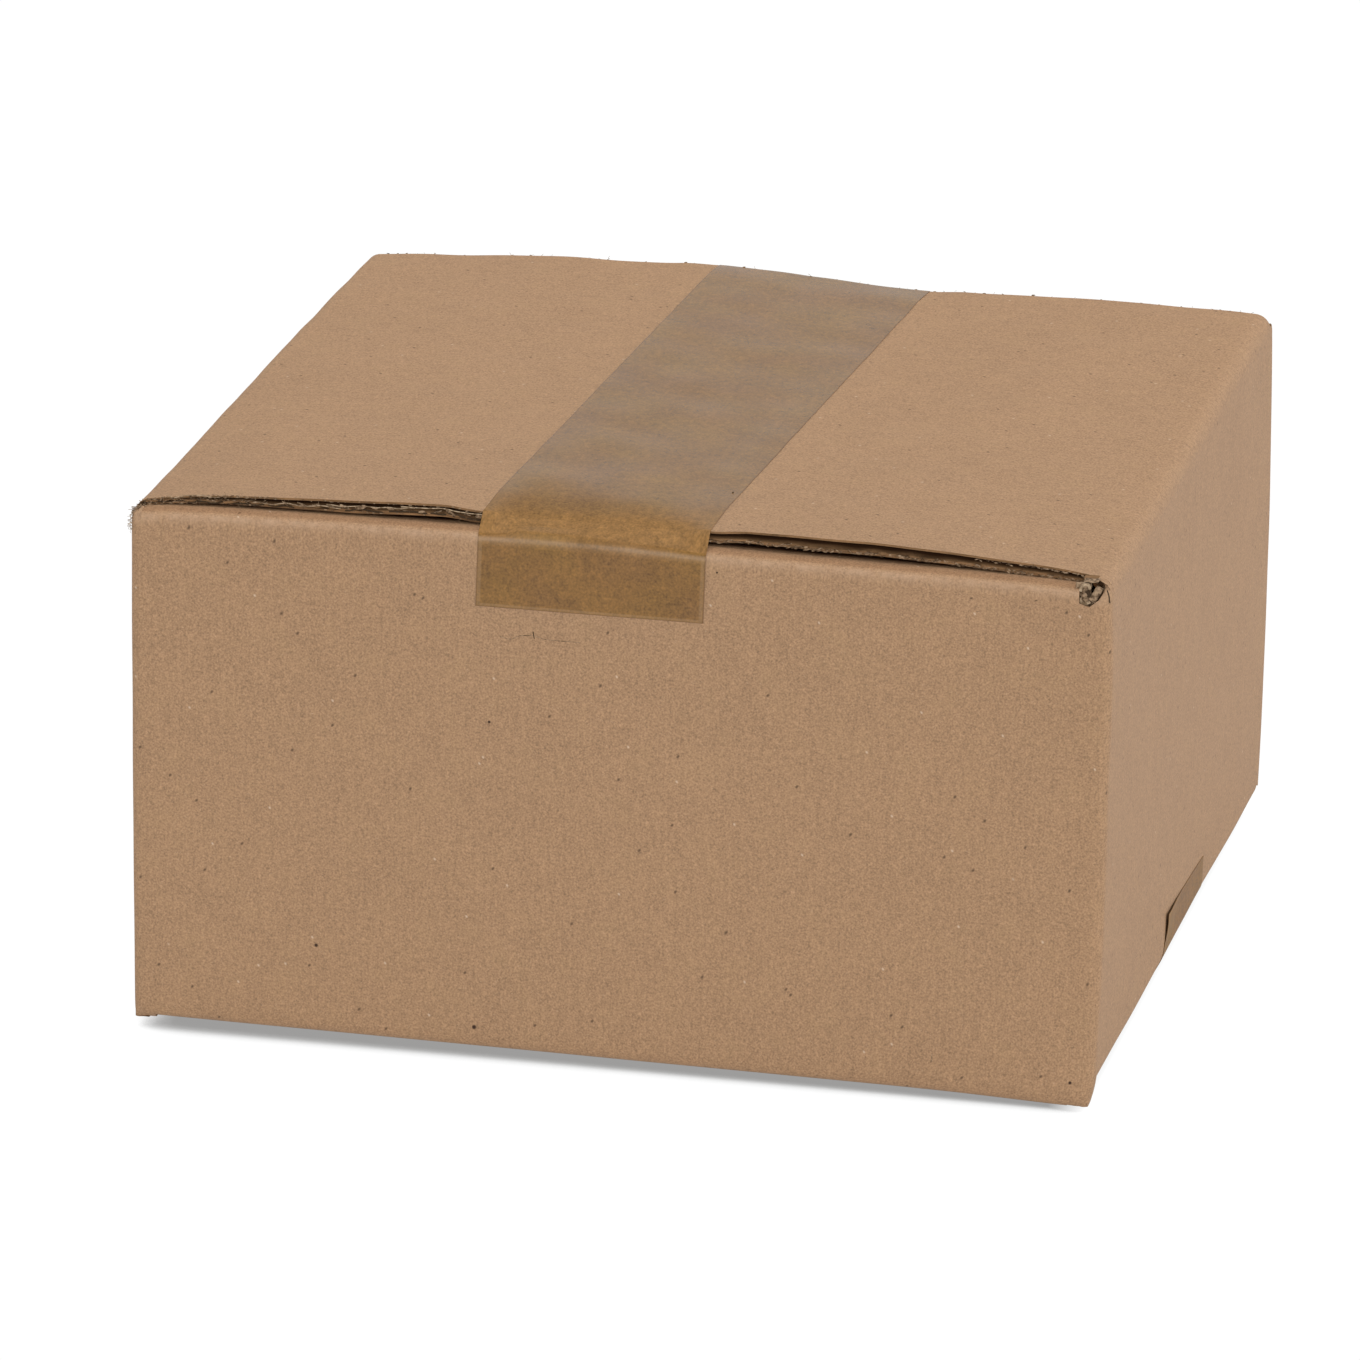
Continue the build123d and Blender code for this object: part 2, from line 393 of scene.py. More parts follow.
def finish_mesh(mesh, materials):
    """Smooth shading with sharp cut edges, the materials, and an object at the origin."""
    mesh.validate()
    mesh.polygons.foreach_set("use_smooth", [True] * len(mesh.polygons))
    mesh.set_sharp_from_angle(angle=radians(40))
    for material in materials:
        mesh.materials.append(material)
    return in_scene(mesh.name, mesh)


class Side:
    """One panel of the carton: where it stands, which way it runs, and where its lower crease is."""

    def __init__(self, name, out, low):
        self.name = name
        self.out = np.array(out + (0,), float)
        self.along = np.array((-out[1], out[0], 0), float)
        self.low = low
        self.reach = half_width if out[0] else half_depth
        self.half = half_depth if out[0] else half_width
        self.cut = self.half - slot_setback


sides = [
    Side("left", (-1, 0), side_low),
    Side("front", (0, -1), front_low),
    Side("right", (1, 0), side_low),
    Side("back", (0, 1), front_low),
]
up = np.array((0, 0, 1.0))


def wall_columns():
    """
    Columns of points round the four walls, from the left panel's raw back edge to the glue tab.
    Each has a place in plan, its outward direction and its place along the blank. Also gives
    the columns that belong to each panel between its slots.
    """
    columns, spans = [], {}
    turn = corner_radius * pi / 2

    def add(side, u, start):
        columns.append((side.out * side.reach + side.along * u, side.out, start + u + side.half))

    start = 0.0
    for side in sides:
        straight = side.half - corner_radius
        if side.name == "left":
            for u in (joint_reveal - side.half, 4 * joint_reveal - side.half):
                add(side, u, start)
        else:
            add(side, -straight, start)
        first = len(columns)
        for u in graded(-side.cut, side.cut, 0.9, 4.0):
            add(side, u, start)
        spans[side.name] = np.arange(first, len(columns))
        radius = corner_radius
        tip = side.half
        if side.name == "back":
            radius = tab_radius
            tip = side.half - board
        add(side, tip - radius, start)
        centre = side.out * (side.reach - radius) + side.along * (tip - radius)
        for share in (0.17, 0.33, 0.5, 0.67, 0.83) + ((1.0,) if side.name == "back" else ()):
            out = side.out * cos(share * pi / 2) + side.along * sin(share * pi / 2)
            columns.append((centre + out * radius, out, start + side.half + tip - radius + share * turn))
        if side.name == "back":
            for depth in tab_columns:
                columns.append((columns[-1][0] - side.out * depth, side.along, columns[-1][2] + depth))
        start += 2 * side.half - 2 * corner_radius + turn
    return columns, spans


columns, spans = wall_columns()
# Of the upper slots, the one at the front panel's left end is narrow and the one at its right end wide
front_columns = np.concatenate([[spans["front"][0] - 1], spans["front"][:-2]])
upper_spans = dict(spans, front=front_columns)
inner_flap_sink = 2.6  # how far the front and back top flaps have sunk under the outer ones
plan = np.array([column[0] for column in columns])
outward = np.array([column[1] for column in columns])
blank_across = np.array([column[2] for column in columns])
carton_sheet = Sheet()


def on_blank(numbers, heights):
    """Places on the blank of a row of columns at each height."""
    return np.stack(np.broadcast_arrays(blank_across[numbers][None], heights[:, None]), -1)


def upright(numbers, heights):
    """Points straight up the walls: outer, inner and on the blank."""
    outer = plan[numbers][None] + heights[:, None, None] * up
    return outer, outer - outward[numbers][None] * board, on_blank(numbers, heights)


def top_thickness(side, distance, y):
    """Thickness of a top flap at a distance from the seam, thinner where its front edge is crushed."""
    edge = smooth_step(crush_depth, 0, cut_front + y)
    return board + (through(crushed, side.out[0] * distance) - board) * edge


wall_low = side_low + fold_radius + 0.5
walls = carton_sheet.place(*upright(np.arange(len(columns)), graded(wall_low, slot_low, 1.5, 4.5)))
carton_sheet.fill(walls)


# Wear and painted light along the rows of a crease and its flap: 1 is rubbed pale with a painted highlight,
# and -1 is painted shade where it lies in deep shade
front_wear_and_painted_light = (0.4, 0.9, 1.0, 0.25, -0.25, -0.35, -0.3, -0.2)
bottom_painted_shade = (-0.6, -1, -1)
first_bend_row, last_bend_row = 2, 10
bend_angles = np.linspace(0, pi / 2, last_bend_row - first_bend_row + 1)[1:]


def crease_wear_and_painted_light(side, upper, count):
    """Wear and painted light of each row of points past the wall: round the crease, and then along the flap.
    """
    wear_and_painted_light = np.zeros(count)
    if upper and side.name == "front":
        wear_and_painted_light[first_bend_row:last_bend_row] = front_wear_and_painted_light
        # Painted shade on the front's inner flap, deep in the gap under the outer flaps
        wear_and_painted_light[last_bend_row + 2:] = -0.9
    elif upper:
        # A faint pale line of wear and painted highlight round the side creases
        wear_and_painted_light[first_bend_row:last_bend_row] = 0.12 * np.sin(np.linspace(0.3, pi - 0.3, len(bend_angles)))
    else:
        # Painted shade under the lower creases, where they face the floor
        wear_and_painted_light[last_bend_row - len(bottom_painted_shade):last_bend_row] = bottom_painted_shade
    return wear_and_painted_light


def flap_start(side, upper, outer_flap, numbers, out_end):
    """Height at which each column of points comes out of the crease and into the flap."""
    u = plan[numbers] @ side.along
    if upper and outer_flap:
        where = side.out[:, None] * out_end
        return top_height(*(where[:2] + side.along[:2, None] * u))
    if upper:
        return fold_height(side.name, plan[numbers][:, 0])
    return under_height(out_end + 0 * u) if outer_flap else np.full(len(numbers), side.low)


def flap(side, upper):
    """The fold and the flap at one end of a panel, joined to the wall's last row of points."""
    numbers = (upper_spans if upper else spans)[side.name]
    rise = 1 if upper else -1
    wall_end = slot_low if upper else wall_low
    wall_row = walls[-1 if upper else 0][numbers]
    outer_flap = (side.name in ("left", "right")) == upper
    u = plan[numbers] @ side.along
    y = plan[numbers][:, 1]

    sharp = upper and side.name == "front"
    radius = front_radius if sharp else fold_radius
    out_end = side.reach - radius
    end = flap_start(side, upper, outer_flap, numbers, out_end)
    spring = end - radius if upper else side.low + radius + 0 * u
    drop = np.abs(end - spring)
    steep = wall_end + np.array([0.5, 1.0])[:, None] * (spring - wall_end)
    outer = plan[numbers] + steep[..., None] * up
    inner = outer - outward[numbers] * board
    run = abs(float(np.mean(spring)) - wall_end)

    # Round the crease
    thin = board
    if upper and outer_flap:
        thin = top_thickness(side, out_end, y)[:, None]
    ring_outer, ring_inner = [], []
    square = 0.67 if sharp else 1.0  # the lower, the squarer the crease, and 1 is a true arc
    for angle in bend_angles:
        point = plan[numbers] - side.out * radius * (1 - cos(angle) ** square)
        point = point + up * (spring + rise * drop * sin(angle) ** square)[:, None]
        normal = side.out * cos(angle) + up * rise * sin(angle)
        ring_outer.append(point)
        ring_inner.append(point - normal * thin)
    lengths = run + radius * bend_angles

    # Along the flap to its free end
    spacing = 1.0 if upper and outer_flap else 3.5
    reach = out_end - graded(0, out_end - seam_half_gap, 1.0, spacing)[1:]
    for distance in reach:
        point = side.out * distance + side.along * u[:, None]
        if upper and outer_flap:
            height = top_height(point[:, 0], point[:, 1])
            thin = top_thickness(side, distance, y)[:, None]
        elif upper:
            height = end - inner_flap_sink * smooth_step(1.5, 16, out_end - distance)
        elif outer_flap:
            height = under_height(distance + 0 * u)
        else:
            height = end
        point = point + up * height[:, None]
        ring_outer.append(point)
        ring_inner.append(point - up * rise * thin)
    lengths = np.concatenate([lengths, lengths[-1] + out_end - reach])

    outer = np.concatenate([outer, np.array(ring_outer)])
    inner = np.concatenate([inner, np.array(ring_inner)])
    heights = wall_end + rise * np.concatenate([[run / 2, run], lengths])
    wear_and_painted_light = crease_wear_and_painted_light(side, upper, len(outer))
    fresh = carton_sheet.place(outer, inner, on_blank(numbers, heights), wear_and_painted_light[:, None])
    rows = np.concatenate([wall_row[None], fresh])
    carton_sheet.fill(rows if upper else rows[::-1])
    return rows


def steady(value):
    """The fluting meets a cut edge in the same way all along it."""
    return lambda share: value + 0 * share


cut_edges = {}
# Where the wave of the fluting meets each visible cut edge: 0 at the inner paper, pi at the outer one
phases = {
    ("left", True, 1): lambda share: 1.7 - 1.3 * smooth_step(0.08, 0.2, share),
    ("right", True, -1): lambda share: 0.25 + 0.5 * smooth_step(0.75, 1.0, share),
}
for number, side in enumerate(sides):
    for upper in (True, False):
        rows = flap(side, upper)
        for end in (-1, 1):
            edge = rows[2:, 0 if end < 0 else -1]
            cut_edges[(side.name, upper, end)] = edge
            phase = phases.get((side.name, upper, end), steady(0.9 + 0.5 * number))
            carton_sheet.open_edge(edge, side.along * end, phase, 40 + 10 * number + 3 * end + upper)


def between(spans_used):
    """The columns of the five upright corners: the raw edge, then those between panels, then the tab."""
    ranges = [np.arange(0, spans_used["left"][0] + 1)]
    for before, after in zip(sides, sides[1:]):
        ranges.append(np.arange(spans_used[before.name][-1], spans_used[after.name][0] + 1))
    return ranges + [np.arange(spans_used["back"][-1], len(columns))]


def corner_end(numbers, wall_row, start, ends):
    """Runs a corner on past the walls to an uneven end, curving in with the folds beside it."""
    shares = np.linspace(0, 1, 7)[1:, None]
    outer, inner, flat = upright(numbers, np.full(len(shares), start))
    rise = shares * (ends - start)
    flat[..., 1] += rise
    heights = start + rise
    upper = ends[0] > start
    wear_and_painted_light = np.zeros(heights.shape)
    middle = plan[numbers].mean(axis=0)
    for points in (outer, inner):
        points[..., 2] += rise
        for side in sides:
            on_side = side.name in ("left", "right")
            if on_side and not upper:
                continue
            top = side.low
            if upper and on_side:
                top = float(top_height(middle[0], middle[1]))
            elif upper:
                top = float(fold_height(side.name, middle[0]))
            spring = top - fold_radius if upper else top + fold_radius
            bent = np.clip((heights - spring) / (top - spring), 0, 0.98)
            faces = np.clip(outward[numbers] @ side.out, 0, 1)
            points -= (fold_radius * (1 - np.sqrt(1 - bent ** 2)) * faces)[..., None] * side.out
            # Pale wear and the painted highlight of the front's upper fold, carried on round the corner
            wear_and_painted_light = wear_and_painted_light + bent * np.sqrt(1 - bent ** 2) * faces * (upper and side.name == "front")
    rows = np.concatenate([wall_row[numbers][None], carton_sheet.place(outer, inner, flat, wear_and_painted_light)])
    carton_sheet.fill(rows if upper else rows[::-1])
    return rows[-1]


# The upright corners run on past the walls to ends that are a little uneven
lower_ends = [4.2, 2.0, 3.0, 8.6, 4.2]
for numbers, end, seed in zip(between(spans), lower_ends, range(60, 65)):
    round_off = 0.5 * np.linspace(-1, 1, len(numbers)) ** 2
    uneven = 0.15 * ripple(seed, 1.5, np.arange(len(numbers)))
    corner_end(numbers, walls[0], wall_low, end + round_off + uneven)
# Each upper end, from the column beside the panel before it to the one beside the panel after it
upper_ends = [
    (front_high - 1.0, front_high - 0.5),
    (side_high - 3.2, front_high + 0.4, front_high + 1.2, front_high + 1.3),
    (slot_low + 0.9, slot_low + 0.4, slot_low + 3.0, slot_low + 4.9, side_high - 1.9, side_high - 1.6),
    (front_high + 1.2, front_high + 1.2),
    (front_high - 1.0, front_high - 1.0),
]
corner_rims = []
for numbers, ends, seed in zip(between(upper_spans), upper_ends, range(80, 85)):
    share = np.linspace(0, 1, len(numbers))
    heights = np.interp(share, np.linspace(0, 1, len(ends)), ends)
    heights += 0.2 * ripple(seed, 1.5, np.arange(len(numbers)))
    corner_rims.append(corner_end(numbers, walls[-1], slot_low, heights))


def film_piece(name, base, material, bridge):
    """
    A closed strip of film over a grid of points on the board, facing along its normals. In the
    rows of the bridge it stands clear of the board, between a flap's edge and the fold below it.
    """
    base = bend(base)
    down = np.gradient(base, axis=0)
    across = np.gradient(base, axis=1)
    normal = np.cross(across, down)
    normal /= np.linalg.norm(normal, axis=-1, keepdims=True)
    under = base + normal * film_gap
    over = base + normal * (film_gap + film)
    rows, count = base.shape[:2]
    numbers = np.arange(rows * count).reshape(rows, count)
    faces, places = [], []
    middle = np.linspace(-tape_width / 2, tape_width / 2, count)
    run = run_along(base[:, count // 2])
    flat = np.stack(np.meshgrid(middle, run), -1).reshape(-1, 2)

    def quad(*corners):
        faces.append(corners)
        places.extend(flat[[corner % (rows * count) for corner in corners]])

    for i in range(rows - 1):
        for j in range(count - 1):
            a, b, c, d = numbers[i, j], numbers[i + 1, j], numbers[i + 1, j + 1], numbers[i, j + 1]
            quad(a, d, c, b)
            a, b, c, d = (number + rows * count for number in (a, b, c, d))
            quad(a, b, c, d)
    loop = list(numbers[0]) + list(numbers[1:, -1]) + list(numbers[-1, -2::-1]) + list(numbers[-2:0:-1, 0])
    for a, b in zip(loop, loop[1:] + loop[:1]):
        quad(a + rows * count, b + rows * count, b, a)
    mesh = new_mesh(name, np.concatenate([over.reshape(-1, 3), under.reshape(-1, 3)]), faces)
    clear = np.zeros((2, rows, count), np.float32)
    if bridge:
        start, end = bridge
        clear[:, start:end] = 1
        clear[:, start] = 0.6
        clear[:, end:end + 5] = np.array([0.9, 0.75, 0.5, 0.3, 0.12])[:, None]
    mark_mesh(mesh, "film", places, {"bridge": clear.ravel()})
    return finish_mesh(mesh, [material])


# Rows of points at each end of a tape: down the panel, round the fold, and over to the flap's edge
leg_rows, bend_rows, bridge_rows = 9, 7, 5


def wrap_end(reach, radius, spring, edge_out, edge_height, leg, upwards):
    """
    One end of a tape, from its cut end to the flap's edge that it bends over, for one column.
    Gives distances out from the carton's middle, and heights, one row for each point.
    """
    centre_out = reach - radius
    to_edge = np.array([edge_out - centre_out, upwards * (edge_height - spring)])
    distance = np.hypot(*to_edge)
    leave = np.arctan2(to_edge[1], to_edge[0]) - np.arccos(np.clip(radius / distance, -1, 1))
    points = [(reach, height) for height in np.linspace(-leg, 0, leg_rows)]
    for angle in np.linspace(0, leave, bend_rows + 1)[1:]:
        points.append((centre_out + radius * cos(angle), radius * sin(angle)))
    out, height = points[-1]
    for share in np.linspace(0, 1, bridge_rows + 1)[1:]:
        points.append((out + (edge_out - out) * share, height + (to_edge[1] - height) * share))
    outs, heights = np.array(points).T
    return outs, spring + upwards * heights


def tape_crown(x, y):
    """Height of what the top tape lies on, with its fall from the left flap to the right one."""
    ramp = ramp_front + (ramp_back - ramp_front) * smooth_step(-half_depth, half_depth, y)
    t = np.clip((x + seam_half_gap) / ramp, 0, 1)
    left = top_height(np.minimum(x, -seam_half_gap), y)
    right = top_height(np.maximum(x, ramp - seam_half_gap), y)
    return left + (right - left) * (0.4 * t + 0.6 * t * t * (3 - 2 * t))


def top_tape_end(side, way, middle, radius, rest, leg_end, across, lean):
    """Rows of points at the top tape's front or back end, from its cut end inwards."""
    columns = []
    for v in across:
        edge = float(tape_crown(middle + v, way * cut_front))
        spring = float(fold_height(side, middle + v)) + rest - radius
        columns.append(wrap_end(half_depth, radius, spring, cut_front, edge, spring - leg_end, 1))
    rows = []
    for i, (out, z) in enumerate(np.array(columns).transpose(2, 1, 0)[:-1]):
        askew = lean * (z - front_high) * (i < leg_rows) * 0.7
        rows.append(np.stack([middle + across - way * askew, way * out, z], -1))
    return rows


def top_tape_base():
    """The grid of points that the top tape lies on, from its front end to its back end."""
    across = np.linspace(-tape_width / 2, tape_width / 2, 33)
    lean = (top_tape_back - top_tape_front) / (2 * cut_front)
    front_end = ("front", -1, top_tape_front, tape_radius, tape_rest, front_high - front_leg)
    back_end = ("back", 1, top_tape_back, fold_radius, 0, front_high - back_leg)
    rows = top_tape_end(*front_end, across, lean)
    for y in graded(-cut_front, cut_front, 0.7, 3.5):
        x = top_tape_front + across + lean * (y + cut_front)
        rows.append(np.stack([x, 0 * x + y, tape_crown(x, 0 * x + y)], -1))
    return np.array(rows + top_tape_end(*back_end, across, lean)[::-1])


fold_spread = 6.5  # the bottom tape's near edge swings out this far at the right fold


def bottom_tape_base():
    """The grid of points that the bottom tape lies on, from its left end to its right end."""
    across = np.linspace(-tape_width / 2, tape_width / 2, 25)
    cut = half_width - slot_setback
    rows = []
    bottom_fold = (half_width, fold_radius, side_low + fold_radius, cut, floor_clearance)
    right_out, right_height = wrap_end(*bottom_fold, right_leg - fold_radius, -1)
    left_out, left_height = wrap_end(*bottom_fold, left_leg - fold_radius, -1)
    y = bottom_tape_middle + across
    for out, height in zip(left_out[:-1], left_height[:-1]):
        rows.append(np.stack([0 * y - out, y, 0 * y + height], -1))
    for x in graded(-cut, cut, 0.7, 4.0):
        spread = fold_spread * smooth_step(20, cut, x) * np.clip(0.25 - across / tape_width, 0, 0.75) / 0.75
        rows.append(np.stack([0 * y + x, y - spread, under_height(y - spread)], -1))
    for out, height in zip(right_out[-2::-1], right_height[-2::-1]):
        # This end is cut askew, spreads towards the fold and has come unstuck at its near corner
        near = 0.5 - across / tape_width
        up_leg = smooth_step(side_low + fold_radius, side_low + right_leg, height)
        height = height + right_skew * near * up_leg
        lift = right_lift * np.exp(-(((1 - near) / 0.25) ** 2))
        lift = lift * smooth_step(side_low + 4, side_low + 10, height)
        low = 1 - smooth_step(side_low - 4, side_low + 7, height)
        spread = fold_spread * low * np.clip(near - 0.25, 0, 0.75) / 0.75
        rows.append(np.stack([0 * y + out + lift, y - spread, height], -1))
    return np.array(rows)


class Value:
    """A number or colour worked out by nodes. Python's operators on it add Math nodes."""

    def __init__(self, nodes, socket):
        self.nodes, self.socket = nodes, socket

    def math(self, operation, other, swapped=False):
        first, second = (other, self) if swapped else (self, other)
        return self.nodes.add("ShaderNodeMath", {"operation": operation}, {0: first, 1: second})

    def __add__(self, other):
        return self.math("ADD", other)

    def __radd__(self, other):
        return self.math("ADD", other, True)

    def __sub__(self, other):
        return self.math("SUBTRACT", other)

    def __rsub__(self, other):
        return self.math("SUBTRACT", other, True)

    def __mul__(self, other):
        return self.math("MULTIPLY", other)

    def __rmul__(self, other):
        return self.math("MULTIPLY", other, True)

    def __abs__(self):
        return self.nodes.add("ShaderNodeMath", {"operation": "ABSOLUTE"}, {0: self})

    def most(self, other):
        return self.math("MAXIMUM", other)


class Nodes:
    """A node tree of any kind. Every node comes from add(), which takes settings, then values or links."""

    def __init__(self, tree):
        self.tree = tree

    def add(self, kind, settings=None, inputs=None, output=0):
        node = self.tree.nodes.new(kind)
        for key, setting in (settings or {}).items():
            setattr(node, key, setting)
        for key, value in (inputs or {}).items():
            socket = node.inputs[key]
            if isinstance(value, (Value, list)):
                for source in value if isinstance(value, list) else [value]:
                    self.tree.links.new(source.socket, socket)
            elif isinstance(value, tuple) and socket.type == "RGBA":
                socket.default_value = (*value, 1)
            else:
                socket.default_value = value
        return Value(self, node.outputs[output]) if len(node.outputs) else None

    def fade(self, value, low, high, at_low=0.0, at_high=1.0):
        """A number that changes evenly with another between two ends, and is held outside them."""
        inputs = {0: value, 1: low, 2: high, 3: at_low, 4: at_high}
        return self.add("ShaderNodeMapRange", {"clamp": True}, inputs)

    def axis(self, name, vector):
        return self.add("ShaderNodeSeparateXYZ", {}, {0: vector}, name)

    def field(self, name):
        """A number kept on the mesh's points."""
        return self.add("ShaderNodeAttribute", {"attribute_name": name}, {}, "Fac")


class Finish(Nodes):
    """One material. Its shader's constant sockets are set directly."""

    def __init__(self, name, place):
        self.material = bpy.data.materials.new(name)
        self.material.use_nodes = True
        super().__init__(self.material.node_tree)
        self.tree.nodes.clear()
        if place == "object":
            self.place = self.add("ShaderNodeTexCoord", output="Object")
        else:
            self.place = self.add("ShaderNodeUVMap", {"uv_map": place})

    def noise(self, size, detail=2.0, rough=0.5, place=None, seed=0.0):
        """Soft blotches of about the given size in millimetres, centred on zero."""
        spot = place or self.place
        inputs = {"Vector": spot, "W": seed, "Scale": 1 / (size * MM), "Detail": detail, "Roughness": rough}
        return self.add("ShaderNodeTexNoise", {"noise_dimensions": "4D"}, inputs) - 0.5

    def turned(self, angle, stretch, shift, place=None):
        """The place on the surface, turned, drawn out along one direction and moved."""
        inputs = {"Vector": place or self.place, "Location": (shift, shift * 0.7, 0)}
        inputs.update({"Rotation": (0, 0, angle), "Scale": (stretch, 1, 1)})
        return self.add("ShaderNodeMapping", {"vector_type": "TEXTURE"}, inputs)

    def specks(self, spacing, size, share, place=None):
        """Round specks, or long ones in a drawn-out place: 1 inside a speck and 0 outside."""
        inputs = {"Vector": place or self.place, "Scale": 1 / (spacing * MM), "Randomness": 1.0}
        cells = {"voronoi_dimensions": "2D"}
        distance = self.add("ShaderNodeTexVoronoi", cells, inputs, "Distance")
        draw = self.add("ShaderNodeTexVoronoi", cells, inputs, "Color")
        chance = self.add("ShaderNodeSeparateColor", {}, {0: draw}, 0)
        radius = size / spacing
        inside = self.fade(distance, radius, radius * 0.35)
        return inside * self.fade(chance, share, share - 0.02)

    def mix(self, share, first, second, kind="MIX"):
        settings = {"data_type": "RGBA", "blend_type": kind, "clamp_factor": True}
        return self.add("ShaderNodeMix", settings, {0: share, 6: first, 7: second}, 2)

    def shade(self, colour, brightness):
        """A colour made lighter or darker by a number."""
        inputs = {0: colour, "Scale": brightness}
        return self.add("ShaderNodeVectorMath", {"operation": "SCALE"}, inputs)

    def surface(self, colour, roughness, height, depth, **constants):
        """The shader itself, with a bump of the given depth in millimetres."""
        inputs = {"Base Color": colour, "Roughness": roughness}
        if height is not None:
            inputs["Normal"] = self.add("ShaderNodeBump", {}, {"Height": height, "Distance": depth * MM})
        for name, value in constants.items():
            inputs[name.replace("_", " ")] = value
        shader = self.add("ShaderNodeBsdfPrincipled", {}, inputs)
        self.add("ShaderNodeOutputMaterial", {}, {"Surface": shader})
        return self.material


kraft_colour = (0.352, 0.210, 0.114)
kraft_yellow = (0.33, 0.21, 0.10)
# Pale of rubbed creases with their painted highlight, then the painted shade of gaps and lower creases
kraft_pale_wear_and_highlight = (0.50, 0.335, 0.215)
kraft_painted_shade = (0.14, 0.038, 0.002)
pale_fibre = (0.58, 0.40, 0.26)
dark_fibre = (0.17, 0.09, 0.045)
pale_speck = (0.62, 0.47, 0.34)
dark_speck = (0.10, 0.055, 0.03)
bark = (0.045, 0.02, 0.01)
cut_paper = (0.215, 0.118, 0.054)
flute_painted_shade = (0.034, 0.012, 0.002)
inside_paper_painted_shade = (0.19, 0.09, 0.035)
tape_colour = (0.205, 0.100, 0.026)
tape_yellow = (0.216, 0.110, 0.024)
tape_red = (0.199, 0.098, 0.031)
tape_clear_painted_light = (0.255, 0.131, 0.041)  # painted light where no board lies under it
tape_rim = (0.42, 0.27, 0.14)
tape_edge_shadow = (0.13, 0.06, 0.02)
tape_fold_whitening_and_highlight = (0.50, 0.34, 0.20)

# Specks of bark in the front panel's paper: across and up it, and their radius
bark_specks = [(-62.9, 22.5, 0.5), (-26.0, 74.6, 0.4), (-28.8, 7.8, 0.6), (98.3, 8.6, 0.45)]
bark_specks += [(21.6, 110.7, 0.3)]


def kraft_paper():
    """Brown liner paper: cloudy, grainy and full of short fibres, rubbed pale along the folds with a painted
    highlight there, and with painted shade in the gaps between flaps and under the lower creases.
    """
    paper = Finish("kraft_paper", "blank")
    clouds = paper.noise(26, 2, 0.5)
    patches = paper.noise(6, 3, 0.6, seed=7)
    mottle = paper.noise(1.15, 3, 0.75, seed=2)
    grain = paper.noise(0.42, 2, 0.6, seed=5)
    streak = paper.noise(0.8, 2, 0.6, place=paper.turned(pi / 2, 12, 0.2), seed=8)
    brightness = 1 + 0.08 * clouds + 0.18 * patches + 0.60 * mottle + 1.4 * grain + 0.30 * streak
    colour = paper.shade(kraft_colour, brightness)
    colour = paper.mix(paper.fade(patches, 0.0, 0.35) * 0.25, colour, kraft_yellow)
    # Each kind of speck: its turn, stretch and shift, its strength, spacing, radius, share and colour
    kinds = []
    for turn, shift in ((0.3, 0.11), (1.4, 0.23), (2.5, 0.37)):
        kinds.append((turn, 3, shift, 0.30, 0.9, 0.09, 0.25, pale_fibre))
        kinds.append((turn + 0.5, 2, shift + 0.05, 0.45, 1.1, 0.11, 0.22, dark_fibre))
    kinds.append((0.9, 1.6, 0.6, 0.85, 7.0, 0.36, 0.24, dark_speck))
    kinds.append((2.2, 1.5, 0.8, 0.7, 9.0, 0.28, 0.25, pale_speck))
    for turn, stretch, shift, strength, spacing, radius, share, tone in kinds:
        specks = paper.specks(spacing, radius, share, paper.turned(turn, stretch, shift))
        colour = paper.mix(strength * specks, colour, tone)
    front = spans["front"]
    for x, z, radius in bark_specks:
        across = float(np.interp(x, plan[front][:, 0], blank_across[front]))
        inputs = {0: paper.place, 1: (across * MM, z * MM, 0)}
        off = paper.add("ShaderNodeVectorMath", {"operation": "DISTANCE"}, inputs, 1)
        colour = paper.mix(paper.fade(off, radius * MM, radius * MM * 0.5), colour, bark)
    # Rubbed pale with a painted highlight where the crease field is positive, and painted shade where it is
    # negative
    crease = paper.field("wear_and_painted_light")
    wear_and_painted_light = paper.fade(crease, 0.0, 1.0) * paper.fade(paper.noise(3, 3, 0.6, seed=9), -0.25, 0.15)
    colour = paper.mix(0.55 * wear_and_painted_light, colour, kraft_pale_wear_and_highlight)
    colour = paper.mix(paper.fade(crease, 0.0, -1.0) * 0.8, colour, kraft_painted_shade)
    height = 0.6 * mottle + 0.4 * grain + 0.3 * patches
    return paper.surface(colour, 0.72, height, 0.10, Specular_IOR_Level=0.3)


def cut_board():
    """The raw edge of the board: dull brown paper, pale where it is torn, with painted shade deep inside the
    flutes.
    """
    edge = Finish("cut_board", "object")
    mottle = edge.noise(0.6, 3, 0.6)
    streak = edge.noise(1.1, 3, 0.6, place=edge.turned(0, 7, 0), seed=4)
    colour = edge.shade(cut_paper, 1 + 0.6 * mottle + 2.4 * streak)
    # Painted shade, darker the deeper a point lies in the flutes
    colour = edge.mix(edge.fade(edge.field("depth"), 0.1, 1.1), colour, flute_painted_shade)
    return edge.surface(colour, 0.85, mottle, 0.15, Specular_IOR_Level=0.2)


def inner_paper():
    """The liner paper inside the carton, darkened deep brown as painted shade for the gaps between flaps."""
    paper = Finish("inner_paper", "blank")
    colour = paper.shade(inside_paper_painted_shade, 1 + 0.6 * paper.noise(1.3, 3, 0.7, seed=12))
    return paper.surface(colour, 0.8, None, 0, Specular_IOR_Level=0.2)


